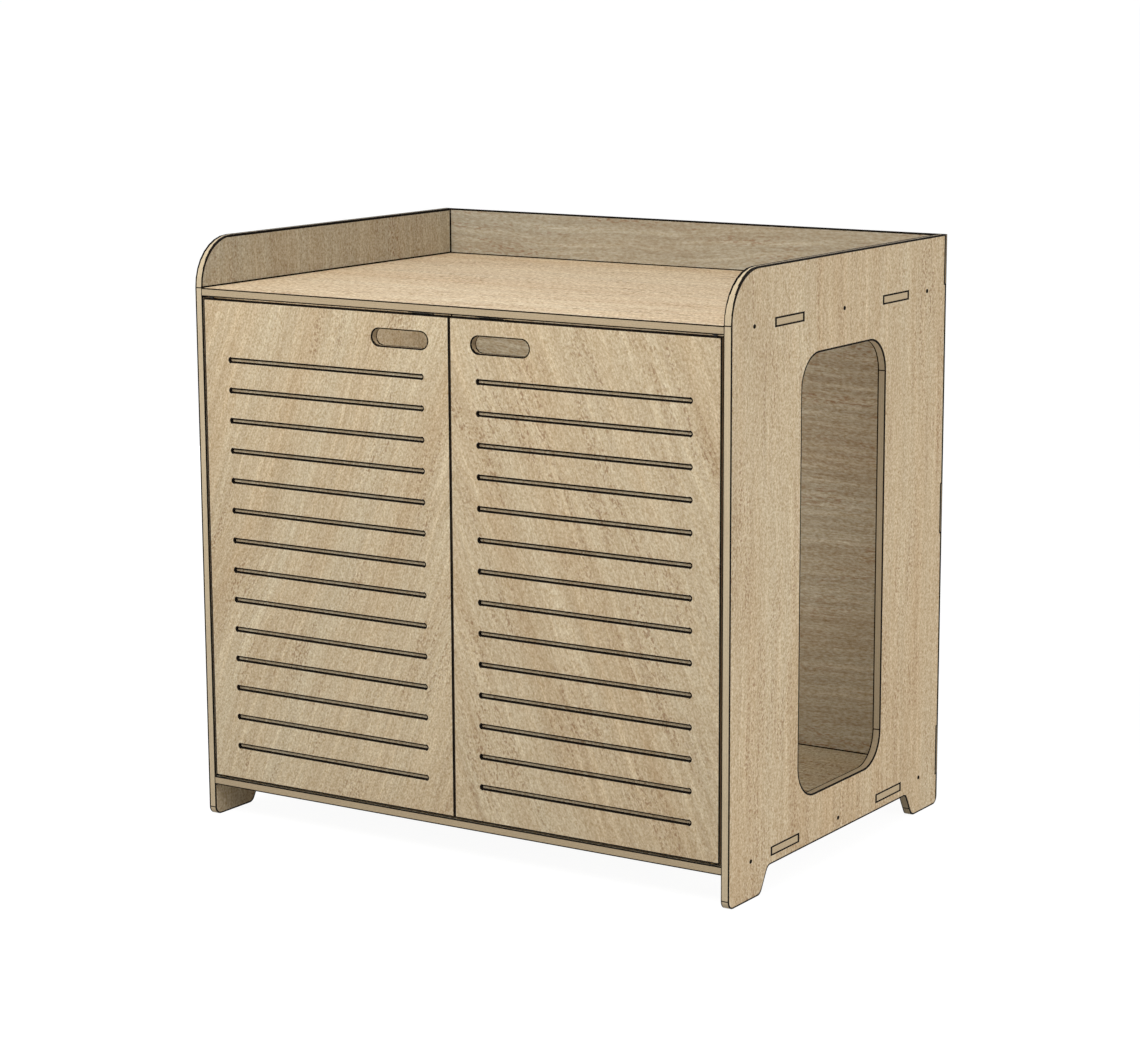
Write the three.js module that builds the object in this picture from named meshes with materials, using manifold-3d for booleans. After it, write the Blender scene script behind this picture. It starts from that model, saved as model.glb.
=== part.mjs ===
// Litter box cabinet: a flat-cut plywood case with a raised lip round its top, a tall
// entry hole in its right side and a pair of inset, grooved doors on pivot pins.
//
// Millimetres. X runs to the right, Y from the front to the back, Z up. The origin is on
// the ground, under the middle of the case.

import * as THREE from 'three';
import { mergeVertices } from 'three/addons/utils/BufferGeometryUtils.js';
import Module from 'manifold-3d';

// ---- Case ----------------------------------------------------------------------------
const CASE_WIDTH = 952.5; // over both side panels
const CASE_DEPTH = 666.75; // over a side panel, front edge to rear edge
const CASE_HEIGHT = 914.4; // ground to the top of the lip
const PANEL_THICKNESS = 12.7; // side, top and bottom panels
const BACK_THICKNESS = 6.35;
const LIP_HEIGHT = 76.2; // what stands up round the top panel
const LIP_RADIUS = 76.2; // front top corner of a side panel
const UNDERFLOOR_HEIGHT = 50.8; // ground to the underside of the bottom panel

// ---- Feet, left by a cut-out in the lower edge of each side panel ----------------------
const FOOT_CUT_HEIGHT = 38.1;
const FRONT_FOOT_LENGTH = 92; // along the ground, to where the sloped side would meet it
const REAR_FOOT_LENGTH = 89;
const FOOT_SLOPE = THREE.MathUtils.degToRad(30); // lean of a foot's inner side
const FOOT_RADIUS = 12.7;

// ---- Entry hole in the right side panel, centred on the inside of the case -------------
const ENTRY_WIDTH = 260.35;
const ENTRY_HEIGHT = 660.4;
const ENTRY_RADIUS = 50.8;

// ---- Tenons, tabs and glue lines -------------------------------------------------------
const TENON_LENGTH = 76.2; // along the edge that carries it
const SIDE_TENON_SPACING = 330.2; // centre to centre, through a side panel
const BACK_TENON_SPACING = 508; // centre to centre, through the back panel
const TAB_HEIGHT = 76.2; // tabs on the edges of the back panel
const GLUE_GAP = 0.15; // between two faces that are glued
const SEAT_GAP = 0.1; // between two faces that are screwed or pressed together

// ---- Lost-head panel pins --------------------------------------------------------------
const PIN_HEAD_DIAMETER = 2.8;
const PIN_HEAD_HEIGHT = 2;
const PIN_SHANK_DIAMETER = 2.2;
const PIN_POINT_HEIGHT = 3;
const PIN_HOLE_DIAMETER = 3.175; // in the panel that the pin passes through
const PIN_CLEARANCE = 0.15; // round the shank and past the point
const PIN_SINK = 0.8; // head below the face
const SIDE_PIN_LENGTH = 38;
const BACK_PIN_LENGTH = 30;
const FRONT_PIN_INSET = 63.5; // first pin from the front edge
const REAR_PIN_INSET = 60.3; // last pin from the back panel
const BACK_PIN_INSET = 76.2; // outer pins of the back panel from the side panels

// ---- Doors -----------------------------------------------------------------------------
const DOOR_THICKNESS = 12.7;
const DOOR_GAP = 3.175; // above, below and beside a door
const MEETING_GAP = 1.5875; // between the doors
const HANDLE_LENGTH = 101.6;
const HANDLE_HEIGHT = 25.4;
const HANDLE_TOP_INSET = 25.4; // hand hole from the door's top edge
const HANDLE_SIDE_INSET = 38.1; // hand hole from the door's meeting edge
const GROOVE_COUNT = 14;
const GROOVE_PITCH = 46.9;
const GROOVE_WIDTH = 6.35;
const GROOVE_DEPTH = 3.175;
const GROOVE_SIDE_INSET = 47.625; // groove's end from the door's edge
const GROOVE_LOWEST_INSET = 50.8; // lowest groove from the door's bottom edge

// ---- Pivot hinges: steel pins in the doors, flanged bushes in the case -----------------
const PIVOT_INSET = 12.7; // axis from the door's outer edge
const PIVOT_PIN_DIAMETER = 5;
const PIVOT_PIN_GRIP = 20; // length held in the door
const PIVOT_PIN_REACH = 6.5; // length below the face that the bush is let into
const PIVOT_CHAMFER = 0.6;
const PIVOT_CLEARANCE = 0.3; // radial, pin in bush
const PIVOT_FIT = 0.15; // radial, pin in door and bush in panel
const BUSH_WALL = 1.4;
const BUSH_DEPTH = 8;
const FLANGE_DIAMETER = 11;
const FLANGE_THICKNESS = 1;
const RUNNING_GAP = 0.3; // between faces that slide or meet

// ---- Magnetic catches and their strike plates ------------------------------------------
const CATCH_INSET = 60; // middle of a catch from the door's meeting edge
const CATCH_BLOCK_LENGTH = 26;
const CATCH_EAR_LENGTH = 10;
const CATCH_EAR_THICKNESS = 3;
const CATCH_HEIGHT = 16;
const CATCH_DEPTH = 14;
const MAGNET_LENGTH = 20;
const MAGNET_HEIGHT = 8;
const MAGNET_DEPTH = 5;
const MAGNET_PROUD = 0.6; // magnet's face in front of the block
const MAGNET_FIT = 0.2; // round the magnet in its pocket
const STRIKE_LENGTH = 44;
const STRIKE_HEIGHT = 12;
const STRIKE_THICKNESS = 1.5;
const STRIKE_TOP_INSET = 1; // plate from the door's top edge
const STRIKE_SCREW_SPACING = 34;
const SCREW_LENGTH = 10; // under the head
const SCREW_DIAMETER = 2.9;
const SCREW_HEAD_DIAMETER = 5.5;
const SCREW_HEAD_HEIGHT = 1.8;
const SCREW_HEAD_CHAMFER = 0.5;
const SCREW_POINT_HEIGHT = 2.5;
const SCREW_CLEARANCE = 0.2;

// ---- Facets ----------------------------------------------------------------------------
const ARC_STEP = Math.PI / 16; // largest turn from one facet of a corner to the next
const SLOT_END_SEGMENTS = 6; // facets of a half-round end
const ROUND_SIDES = 16; // pivot pins, bushes and washers
const FASTENER_SIDES = 8;

// ---- Planes worked out from the sizes above --------------------------------------------
const OUTER_X = CASE_WIDTH / 2;
const INNER_X = OUTER_X - PANEL_THICKNESS;
const FRONT_Y = -CASE_DEPTH / 2;
const REAR_Y = CASE_DEPTH / 2;
const BACK_INNER_Y = REAR_Y - BACK_THICKNESS;
const SHELF_MIDDLE_Y = (FRONT_Y + BACK_INNER_Y) / 2; // middle of the top and bottom panels
const TOP_SURFACE_Z = CASE_HEIGHT - LIP_HEIGHT;
const TOP_UNDERSIDE_Z = TOP_SURFACE_Z - PANEL_THICKNESS;
const BOTTOM_UNDERSIDE_Z = UNDERFLOOR_HEIGHT;
const BOTTOM_SURFACE_Z = BOTTOM_UNDERSIDE_Z + PANEL_THICKNESS;
const INSIDE_MIDDLE_Z = (TOP_UNDERSIDE_Z + BOTTOM_SURFACE_Z) / 2;

const SHELVES = [
  { name: 'top', undersideZ: TOP_UNDERSIDE_Z },
  { name: 'bottom', undersideZ: BOTTOM_UNDERSIDE_Z },
];
const SIDE_PINS = [
  { name: 'front', y: FRONT_Y + FRONT_PIN_INSET },
  { name: 'middle', y: SHELF_MIDDLE_Y },
  { name: 'rear', y: BACK_INNER_Y - REAR_PIN_INSET },
];
const BACK_PINS = [
  { name: 'left', x: -INNER_X + BACK_PIN_INSET },
  { name: 'middle', x: 0 },
  { name: 'right', x: INNER_X - BACK_PIN_INSET },
];
const TABS = [
  { name: 'low', z: BOTTOM_UNDERSIDE_Z + TAB_HEIGHT / 2 },
  { name: 'middle', z: (BOTTOM_UNDERSIDE_Z + CASE_HEIGHT) / 2 },
  { name: 'high', z: CASE_HEIGHT - TAB_HEIGHT / 2 },
];
const SIDE_TENON_YS = [-0.5, 0.5].map((k) => SHELF_MIDDLE_Y + k * SIDE_TENON_SPACING);
const BACK_TENON_XS = [-0.5, 0.5].map((k) => k * BACK_TENON_SPACING);
const SIDE_CENTRE_X = OUTER_X - PANEL_THICKNESS / 2;

const DOOR_WIDTH = INNER_X - DOOR_GAP - MEETING_GAP / 2;
const DOOR_BOTTOM_Z = BOTTOM_SURFACE_Z + DOOR_GAP;
const DOOR_TOP_Z = TOP_UNDERSIDE_Z - DOOR_GAP;
const DOOR_CENTRE_Y = FRONT_Y + DOOR_THICKNESS / 2;
const DOOR_REAR_Y = FRONT_Y + DOOR_THICKNESS;
const PIVOT_X = INNER_X - DOOR_GAP - PIVOT_INSET;
const BORE_RADIUS = PIVOT_PIN_DIAMETER / 2 + PIVOT_CLEARANCE;
const BUSH_RADIUS = BORE_RADIUS + BUSH_WALL;
const PIVOT_HOLE_RADIUS = PIVOT_PIN_DIAMETER / 2 + PIVOT_FIT;
const FLANGE_FACE = SEAT_GAP + FLANGE_THICKNESS; // height over the panel's face

const CATCH_X = MEETING_GAP / 2 + CATCH_INSET;
const CATCH_TOP_Z = TOP_UNDERSIDE_Z - SEAT_GAP;
const CATCH_SCREW_X = (CATCH_BLOCK_LENGTH + CATCH_EAR_LENGTH) / 2;
const CATCH_SCREW_Z = CATCH_TOP_Z - CATCH_EAR_THICKNESS - SEAT_GAP; // under its head
const STRIKE_Z = DOOR_TOP_Z - STRIKE_TOP_INSET - STRIKE_HEIGHT / 2;
const STRIKE_REAR_Y = DOOR_REAR_Y + SEAT_GAP + STRIKE_THICKNESS;
const MAGNET_FRONT_Y = STRIKE_REAR_Y + RUNNING_GAP;
const CATCH_FRONT_Y = MAGNET_FRONT_Y + MAGNET_PROUD;
const CATCH_MIDDLE_Y = CATCH_FRONT_Y + CATCH_DEPTH / 2;

const PIN_HOLE_RADIUS = PIN_HOLE_DIAMETER / 2;
const SHANK_HOLE_RADIUS = PIN_SHANK_DIAMETER / 2 + PIN_CLEARANCE;
const SCREW_HOLE_RADIUS = SCREW_DIAMETER / 2 + SCREW_CLEARANCE;
const SIDE_PIN_TIP_X = OUTER_X - PIN_SINK - SIDE_PIN_LENGTH;
const BACK_PIN_TIP_Y = REAR_Y - PIN_SINK - BACK_PIN_LENGTH;

// ---- Materials -------------------------------------------------------------------------
const finish = (color, roughness, metalness) => () =>
  new THREE.MeshStandardMaterial({ color, roughness, metalness });
const plywood = finish(0xcdb48e, 0.6, 0);
const pinSteel = finish(0x3a3530, 0.5, 0.9);
const pivotSteel = finish(0xb4b6b8, 0.35, 1);
const nylon = finish(0xe6e2d8, 0.45, 0);
const brass = finish(0xb59a5a, 0.4, 1);
const catchPlastic = finish(0xd8d2c4, 0.5, 0);
const magnetBlack = finish(0x2b2b2c, 0.55, 0.3);
const screwSteel = finish(0xa9a9a4, 0.4, 1);

// ---- Solids ----------------------------------------------------------------------------
const wasm = await Module();
wasm.setup();

// The solid inside a closed geometry.
function solidOf(geometry) {
  const bare = geometry.clone();
  bare.deleteAttribute('normal');
  bare.deleteAttribute('uv');
  const merged = mergeVertices(bare, 1e-4);
  return new wasm.Manifold(
    new wasm.Mesh({
      numProp: 3,
      vertProperties: new Float32Array(merged.attributes.position.array),
      triVerts: new Uint32Array(merged.index.array),
    }),
  );
}

// A geometry with other geometries cut out of it.
function cut(geometry, cutters) {
  let solid = solidOf(geometry);
  for (const cutter of cutters) {
    solid = solid.subtract(solidOf(cutter));
  }
  const mesh = solid.getMesh();
  const result = new THREE.BufferGeometry();
  result.setAttribute('position', new THREE.BufferAttribute(mesh.vertProperties, 3));
  result.setIndex(new THREE.BufferAttribute(mesh.triVerts, 1));
  result.computeVertexNormals();
  return result;
}

// The outline through corners given as [x, y, radius], with each corner that has a
// radius rounded by an arc that touches both of its sides.
function roundedOutline(corners) {
  return corners.flatMap(([x, y, radius = 0], i) => {
    const corner = new THREE.Vector2(x, y);
    if (radius === 0) return [corner];
    const before = new THREE.Vector2(...corners.at(i - 1)).sub(corner).normalize();
    const after = new THREE.Vector2(...corners[(i + 1) % corners.length]).sub(corner).normalize();
    const halfAngle = before.angleTo(after) / 2;
    const start = before.clone().multiplyScalar(radius / Math.tan(halfAngle)).add(corner);
    const centre = before.clone().add(after).normalize();
    centre.multiplyScalar(radius / Math.sin(halfAngle)).add(corner);
    const turn = (Math.PI - 2 * halfAngle) * Math.sign(after.cross(before));
    const steps = Math.ceil(Math.abs(turn) / ARC_STEP);
    return Array.from({ length: steps + 1 }, (_, k) =>
      start.clone().rotateAround(centre, (turn * k) / steps),
    );
  });
}

function rectangle(width, height, x = 0, y = 0, radius = 0) {
  return roundedOutline([
    [x - width / 2, y - height / 2, radius],
    [x + width / 2, y - height / 2, radius],
    [x + width / 2, y + height / 2, radius],
    [x - width / 2, y + height / 2, radius],
  ]);
}

// A slot with half-round ends, lying along X.
function slot(length, height, x, y) {
  const radius = height / 2;
  const reach = length / 2 - radius;
  const points = [];
  for (const side of [1, -1]) {
    for (let k = 0; k <= SLOT_END_SEGMENTS; k++) {
      const angle = Math.PI * (k / SLOT_END_SEGMENTS - 0.5);
      const px = x + side * (reach + radius * Math.cos(angle));
      points.push(new THREE.Vector2(px, y + side * radius * Math.sin(angle)));
    }
  }
  return points;
}

function circle(radius, x, y, sides = FASTENER_SIDES) {
  return Array.from({ length: sides }, (_, k) => {
    const angle = (2 * Math.PI * k) / sides;
    return new THREE.Vector2(x + radius * Math.cos(angle), y + radius * Math.sin(angle));
  });
}

// A flat piece of the given outline, drawn in X and Y and centred on Z = 0.
function slab(outline, depth) {
  const shape = new THREE.Shape(outline);
  return new THREE.ExtrudeGeometry(shape, { depth, bevelEnabled: false }).translate(0, 0, -depth / 2);
}

// A board with holes through it.
function board(outline, thickness, holes = []) {
  return cut(
    slab(outline, thickness),
    holes.map((points) => slab(points, 2 * thickness)),
  );
}

// Turns a board drawn flat so that its outline's X and Y become the case's Y and Z.
const standSideways = (geometry) => geometry.rotateX(Math.PI / 2).rotateZ(Math.PI / 2);
// Turns a board drawn flat so that its outline's X and Y become the case's X and Z.
const standFacing = (geometry) => geometry.rotateX(Math.PI / 2);

// A round cutter along 'x', 'y' or 'z', between two places on that axis.
function bore(axis, radius, from, to, across, sides = FASTENER_SIDES) {
  const geometry = new THREE.CylinderGeometry(radius, radius, Math.abs(to - from), sides);
  if (axis === 'x') geometry.rotateZ(Math.PI / 2);
  if (axis === 'z') geometry.rotateX(Math.PI / 2);
  const centre = { ...across, [axis]: (from + to) / 2 };
  return geometry.translate(centre.x, centre.y, centre.z);
}

// A turned piece whose profile is given as [radius, height] up the Z axis.
function turned(profile, sides) {
  const points = profile.map(([radius, height]) => new THREE.Vector2(radius, height));
  return new THREE.LatheGeometry(points, sides).rotateX(Math.PI / 2);
}

// ---- Scene graph -----------------------------------------------------------------------
const cabinet = new THREE.Group();
cabinet.name = 'litter_box_cabinet';

function addMesh(parent, name, geometry, material, position = [0, 0, 0], rotation = [0, 0, 0]) {
  const mesh = new THREE.Mesh(geometry, material());
  mesh.name = name;
  mesh.position.set(...position);
  mesh.rotation.set(...rotation);
  parent.add(mesh);
  return mesh;
}

// Turns of a fastener whose head faces along +Z as made.
const HEAD_TO_LEFT = [0, -Math.PI / 2, 0];
const HEAD_TO_RIGHT = [0, Math.PI / 2, 0];
const HEAD_TO_BACK = [-Math.PI / 2, 0, 0];
const HEAD_DOWN = [Math.PI, 0, 0];

// ---- Side panels -----------------------------------------------------------------------
// Outline in Y and Z, counter-clockwise from the front foot, with a notch in the rear
// edge for each tab of the back panel.
function sideOutline() {
  const slopeRun = FOOT_CUT_HEIGHT * Math.tan(FOOT_SLOPE);
  const frontFootY = FRONT_Y + FRONT_FOOT_LENGTH;
  const rearFootY = REAR_Y - REAR_FOOT_LENGTH;
  const notchY = BACK_INNER_Y - GLUE_GAP;
  const notchHalf = TAB_HEIGHT / 2 + GLUE_GAP;
  const [low, middle, high] = TABS;
  return roundedOutline([
    [FRONT_Y, 0, FOOT_RADIUS],
    [frontFootY, 0, FOOT_RADIUS],
    [frontFootY + slopeRun, FOOT_CUT_HEIGHT, FOOT_RADIUS],
    [rearFootY - slopeRun, FOOT_CUT_HEIGHT, FOOT_RADIUS],
    [rearFootY, 0, FOOT_RADIUS],
    [REAR_Y, 0, FOOT_RADIUS],
    [REAR_Y, low.z - notchHalf],
    [notchY, low.z - notchHalf],
    [notchY, low.z + notchHalf],
    [REAR_Y, low.z + notchHalf],
    [REAR_Y, middle.z - notchHalf],
    [notchY, middle.z - notchHalf],
    [notchY, middle.z + notchHalf],
    [REAR_Y, middle.z + notchHalf],
    [REAR_Y, high.z - notchHalf],
    [notchY, high.z - notchHalf],
    [notchY, CASE_HEIGHT],
    [FRONT_Y, CASE_HEIGHT, LIP_RADIUS],
  ]);
}

function sidePanel(hasEntry) {
  const holes = SHELVES.flatMap(({ undersideZ }) => {
    const z = undersideZ + PANEL_THICKNESS / 2;
    const mortise = [TENON_LENGTH + 2 * GLUE_GAP, PANEL_THICKNESS + 2 * GLUE_GAP];
    return [
      ...SIDE_TENON_YS.map((y) => rectangle(...mortise, y, z)),
      ...SIDE_PINS.map(({ y }) => circle(PIN_HOLE_RADIUS, y, z)),
    ];
  });
  if (hasEntry) holes.push(rectangle(ENTRY_WIDTH, ENTRY_HEIGHT, 0, INSIDE_MIDDLE_Z, ENTRY_RADIUS));
  const tipY = BACK_PIN_TIP_Y - PIN_CLEARANCE;
  const tabPinHoles = TABS.map(({ z }) => bore('y', SHANK_HOLE_RADIUS, tipY, REAR_Y, { x: 0, z }));
  return cut(standSideways(board(sideOutline(), PANEL_THICKNESS, holes)), tabPinHoles);
}

addMesh(cabinet, 'left_side_panel', sidePanel(false), plywood, [-SIDE_CENTRE_X, 0, 0]);
addMesh(cabinet, 'right_side_panel', sidePanel(true), plywood, [SIDE_CENTRE_X, 0, 0]);

// ---- Top and bottom panels -------------------------------------------------------------
// Outline in X and Y, counter-clockwise from the front left corner, with two tenons
// through each side panel and two through the back.
function shelfOutline() {
  const endX = INNER_X - GLUE_GAP;
  const rearY = BACK_INNER_Y - GLUE_GAP;
  const half = TENON_LENGTH / 2;
  const sideTenon = (side, y) => [
    [side * endX, y - side * half],
    [side * OUTER_X, y - side * half],
    [side * OUTER_X, y + side * half],
    [side * endX, y + side * half],
  ];
  const backTenon = (x) => [
    [x + half, rearY],
    [x + half, REAR_Y],
    [x - half, REAR_Y],
    [x - half, rearY],
  ];
  const [frontTenonY, rearTenonY] = SIDE_TENON_YS;
  const [leftTenonX, rightTenonX] = BACK_TENON_XS;
  return roundedOutline([
    [-endX, FRONT_Y],
    [endX, FRONT_Y],
    ...sideTenon(1, frontTenonY),
    ...sideTenon(1, rearTenonY),
    [endX, rearY],
    ...backTenon(rightTenonX),
    ...backTenon(leftTenonX),
    [-endX, rearY],
    ...sideTenon(-1, rearTenonY),
    ...sideTenon(-1, frontTenonY),
  ]);
}

// Blind holes for the pins and the pivot bushes, centred on the shelf's thickness. inward
// is 1 on the bottom panel, which has the inside of the case above it, and -1 on the top.
function shelfCutters(inward) {
  const face = (inward * PANEL_THICKNESS) / 2;
  const bushHoleEnd = face - inward * (BUSH_DEPTH + PIVOT_FIT);
  const bushHoleRadius = BUSH_RADIUS + PIVOT_FIT;
  const sidePinEnd = SIDE_PIN_TIP_X - PIN_CLEARANCE;
  const backPinEnd = BACK_PIN_TIP_Y - PIN_CLEARANCE;
  const cutters = [];
  for (const side of [-1, 1]) {
    const pivot = { x: side * PIVOT_X, y: DOOR_CENTRE_Y };
    cutters.push(bore('z', bushHoleRadius, face + inward, bushHoleEnd, pivot, ROUND_SIDES));
    for (const { y } of SIDE_PINS) {
      cutters.push(bore('x', SHANK_HOLE_RADIUS, side * sidePinEnd, side * OUTER_X, { y, z: 0 }));
    }
  }
  for (const { x } of BACK_PINS) {
    cutters.push(bore('y', SHANK_HOLE_RADIUS, backPinEnd, REAR_Y, { x, z: 0 }));
  }
  return cutters;
}

// Blind holes in the top panel's underside for the screws of the catches.
function catchScrewCutters() {
  const middleZ = TOP_UNDERSIDE_Z + PANEL_THICKNESS / 2;
  const tip = CATCH_SCREW_Z + SCREW_LENGTH + SCREW_CLEARANCE - middleZ;
  const places = [-1, 1].flatMap((side) => [-1, 1].map((end) => side * CATCH_X + end * CATCH_SCREW_X));
  return places.map((x) =>
    bore('z', SCREW_HOLE_RADIUS, -PANEL_THICKNESS, tip, { x, y: CATCH_MIDDLE_Y }),
  );
}

const topPanel = cut(board(shelfOutline(), PANEL_THICKNESS), [
  ...shelfCutters(-1),
  ...catchScrewCutters(),
]);
const bottomPanel = cut(board(shelfOutline(), PANEL_THICKNESS), shelfCutters(1));
addMesh(cabinet, 'top_panel', topPanel, plywood, [0, 0, TOP_UNDERSIDE_Z + PANEL_THICKNESS / 2]);
addMesh(cabinet, 'bottom_panel', bottomPanel, plywood, [
  0,
  0,
  BOTTOM_UNDERSIDE_Z + PANEL_THICKNESS / 2,
]);

// ---- Back panel ------------------------------------------------------------------------
// Outline in X and Z, counter-clockwise from the bottom left corner, with notches for the
// bottom panel's tenons and tabs that lie in the notches of the side panels.
function backOutline() {
  const edgeX = INNER_X - GLUE_GAP;
  const half = TAB_HEIGHT / 2;
  const notchHalf = TENON_LENGTH / 2 + GLUE_GAP;
  const notchZ = BOTTOM_SURFACE_Z + GLUE_GAP;
  const notch = (x) => [
    [x - notchHalf, BOTTOM_UNDERSIDE_Z],
    [x - notchHalf, notchZ],
    [x + notchHalf, notchZ],
    [x + notchHalf, BOTTOM_UNDERSIDE_Z],
  ];
  const [low, middle, high] = TABS;
  const rightEdge = [
    [OUTER_X, BOTTOM_UNDERSIDE_Z],
    [OUTER_X, low.z + half],
    [edgeX, low.z + half],
    [edgeX, middle.z - half],
    [OUTER_X, middle.z - half],
    [OUTER_X, middle.z + half],
    [edgeX, middle.z + half],
    [edgeX, high.z - half],
    [OUTER_X, high.z - half],
    [OUTER_X, CASE_HEIGHT],
  ];
  const leftEdge = rightEdge.map(([x, z]) => [-x, z]).reverse();
  return roundedOutline([...BACK_TENON_XS.flatMap(notch), ...rightEdge, ...leftEdge]);
}

function backPanel() {
  const topMiddleZ = TOP_UNDERSIDE_Z + PANEL_THICKNESS / 2;
  const bottomMiddleZ = BOTTOM_UNDERSIDE_Z + PANEL_THICKNESS / 2;
  const mortise = [TENON_LENGTH + 2 * GLUE_GAP, PANEL_THICKNESS + 2 * GLUE_GAP];
  const holes = BACK_TENON_XS.map((x) => rectangle(...mortise, x, topMiddleZ));
  for (const { x } of BACK_PINS) {
    holes.push(circle(PIN_HOLE_RADIUS, x, topMiddleZ), circle(PIN_HOLE_RADIUS, x, bottomMiddleZ));
  }
  for (const { z } of TABS) {
    holes.push(circle(PIN_HOLE_RADIUS, -SIDE_CENTRE_X, z), circle(PIN_HOLE_RADIUS, SIDE_CENTRE_X, z));
  }
  return standFacing(board(backOutline(), BACK_THICKNESS, holes));
}

addMesh(cabinet, 'back_panel', backPanel(), plywood, [0, REAR_Y - BACK_THICKNESS / 2, 0]);

// ---- Panel pins ------------------------------------------------------------------------
// A lost-head pin with the top of its head at Z = 0.
function panelPin(length) {
  const shank = PIN_SHANK_DIAMETER / 2;
  const head = PIN_HEAD_DIAMETER / 2;
  const profile = [
    [0, -length],
    [shank, PIN_POINT_HEIGHT - length],
    [shank, -PIN_HEAD_HEIGHT],
    [head, -PIN_HEAD_HEIGHT / 2],
    [head, 0],
    [0, 0],
  ];
  return turned(profile, FASTENER_SIDES);
}

const sidePinHeadX = OUTER_X - PIN_SINK;
const backPinHeadY = REAR_Y - PIN_SINK;
for (const shelfPlace of SHELVES) {
  const z = shelfPlace.undersideZ + PANEL_THICKNESS / 2;
  for (const { name, y } of SIDE_PINS) {
    const place = `${shelfPlace.name}_${name}`;
    const pin = () => panelPin(SIDE_PIN_LENGTH);
    addMesh(cabinet, `left_side_pin_${place}`, pin(), pinSteel, [-sidePinHeadX, y, z], HEAD_TO_LEFT);
    addMesh(cabinet, `right_side_pin_${place}`, pin(), pinSteel, [sidePinHeadX, y, z], HEAD_TO_RIGHT);
  }
  for (const { name, x } of BACK_PINS) {
    const pin = panelPin(BACK_PIN_LENGTH);
    const place = [x, backPinHeadY, z];
    addMesh(cabinet, `back_pin_${shelfPlace.name}_${name}`, pin, pinSteel, place, HEAD_TO_BACK);
  }
}
for (const { name, z } of TABS) {
  for (const [sideName, side] of [['left', -1], ['right', 1]]) {
    const pin = panelPin(BACK_PIN_LENGTH);
    const place = [side * SIDE_CENTRE_X, backPinHeadY, z];
    addMesh(cabinet, `back_pin_${sideName}_tab_${name}`, pin, pinSteel, place, HEAD_TO_BACK);
  }
}

// ---- Pivot bushes in the top and bottom panels -----------------------------------------
// A flanged bush let into a face at Z = 0, with its flange above that face.
function pivotBush() {
  const profile = [
    [BORE_RADIUS, -BUSH_DEPTH],
    [BUSH_RADIUS, -BUSH_DEPTH],
    [BUSH_RADIUS, SEAT_GAP],
    [FLANGE_DIAMETER / 2, SEAT_GAP],
    [FLANGE_DIAMETER / 2, FLANGE_FACE],
    [BORE_RADIUS, FLANGE_FACE],
    [BORE_RADIUS, -BUSH_DEPTH],
  ];
  return turned(profile, ROUND_SIDES);
}

// ---- Magnetic catches under the top panel ----------------------------------------------
// A block with an ear at each end and a pocket for its magnet. Its top is at Z = 0 and its
// front at Y = 0.
function catchBody() {
  const half = CATCH_BLOCK_LENGTH / 2;
  const end = half + CATCH_EAR_LENGTH;
  const outline = roundedOutline([
    [-end, -CATCH_EAR_THICKNESS],
    [-half, -CATCH_EAR_THICKNESS],
    [-half, -CATCH_HEIGHT],
    [half, -CATCH_HEIGHT],
    [half, -CATCH_EAR_THICKNESS],
    [end, -CATCH_EAR_THICKNESS],
    [end, 0],
    [-end, 0],
  ]);
  const block = standFacing(board(outline, CATCH_DEPTH)).translate(0, CATCH_DEPTH / 2, 0);
  const pocket = new THREE.BoxGeometry(
    MAGNET_LENGTH + 2 * MAGNET_FIT,
    2 * (MAGNET_DEPTH - MAGNET_PROUD + MAGNET_FIT),
    MAGNET_HEIGHT + 2 * MAGNET_FIT,
  ).translate(0, 0, STRIKE_Z - CATCH_TOP_Z);
  const screwHoles = [-CATCH_SCREW_X, CATCH_SCREW_X].map((x) =>
    bore('z', SCREW_HOLE_RADIUS, -CATCH_HEIGHT, 1, { x, y: CATCH_DEPTH / 2 }),
  );
  return cut(block, [pocket, ...screwHoles]);
}

// A pan-head screw with the underside of its head at Z = 0.
function panHeadScrew() {
  const shank = SCREW_DIAMETER / 2;
  const head = SCREW_HEAD_DIAMETER / 2;
  const profile = [
    [0, -SCREW_LENGTH],
    [shank, SCREW_POINT_HEIGHT - SCREW_LENGTH],
    [shank, 0],
    [head, 0],
    [head, SCREW_HEAD_HEIGHT - SCREW_HEAD_CHAMFER],
    [head - SCREW_HEAD_CHAMFER, SCREW_HEAD_HEIGHT],
    [0, SCREW_HEAD_HEIGHT],
  ];
  return turned(profile, FASTENER_SIDES);
}

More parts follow.
